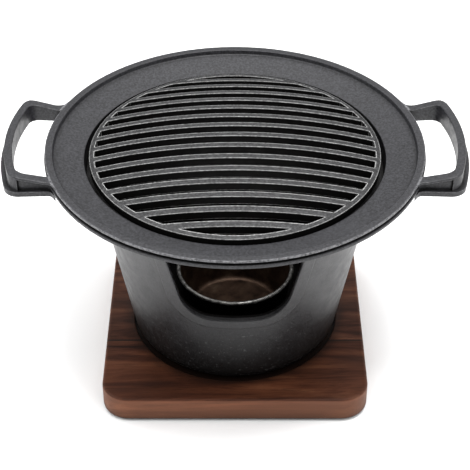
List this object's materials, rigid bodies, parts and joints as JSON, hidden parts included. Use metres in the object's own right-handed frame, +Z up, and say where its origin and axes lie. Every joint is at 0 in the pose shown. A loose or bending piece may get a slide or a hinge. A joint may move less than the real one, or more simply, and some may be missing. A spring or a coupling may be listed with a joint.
{
  "type": "tabletop hibachi grill",
  "caption": "Small round tabletop grill: domed slotted grate in a two-handled cast pan, on a tapered stove body with a fuel cup, standing on a square wooden board.",
  "frame": {"origin": "centre of the footprint, at the bottom of the board's pads", "axes": "+Z up, X from handle to handle, the stove's window faces -Y"},
  "size_m": [0.2462, 0.2008, 0.1397],
  "materials": {
    "board_wood": "oiled dark walnut, straight grain",
    "pad_rubber": "matte black",
    "stove_enamel": "smooth satin black coating on cast metal",
    "cup_steel": "thin pressed steel, heat-browned inside",
    "pan_coating": "matte charcoal coating with a fine grain",
    "grate_coating": "matte charcoal coating, worn lighter on the rib edges"
  },
  "bodies": {
    "board": {"base_board": "board_wood", "foot_pad_front_left": "pad_rubber", "foot_pad_front_right": "pad_rubber", "foot_pad_rear_left": "pad_rubber", "foot_pad_rear_right": "pad_rubber"},
    "stove": {"stove_body": "stove_enamel"},
    "cup": {"burner_cup": "cup_steel"},
    "pan": {"grill_pan": "pan_coating"},
    "grate": {"grill_grate": "grate_coating"}
  },
  "joints": [
    {"name": "stove_lift", "type": "slide", "parent": "board", "child": "stove", "axis": [0, 0, 1], "range_m": [0, 0.06]},
    {"name": "cup_lift", "type": "slide", "parent": "stove", "child": "cup", "axis": [0, 0, 1], "range_m": [0, 0.075]},
    {"name": "pan_lift", "type": "slide", "parent": "stove", "child": "pan", "axis": [0, 0, 1], "range_m": [0, 0.06]},
    {"name": "grate_lift", "type": "slide", "parent": "pan", "child": "grate", "axis": [0, 0, 1], "range_m": [0, 0.05]}
  ]
}
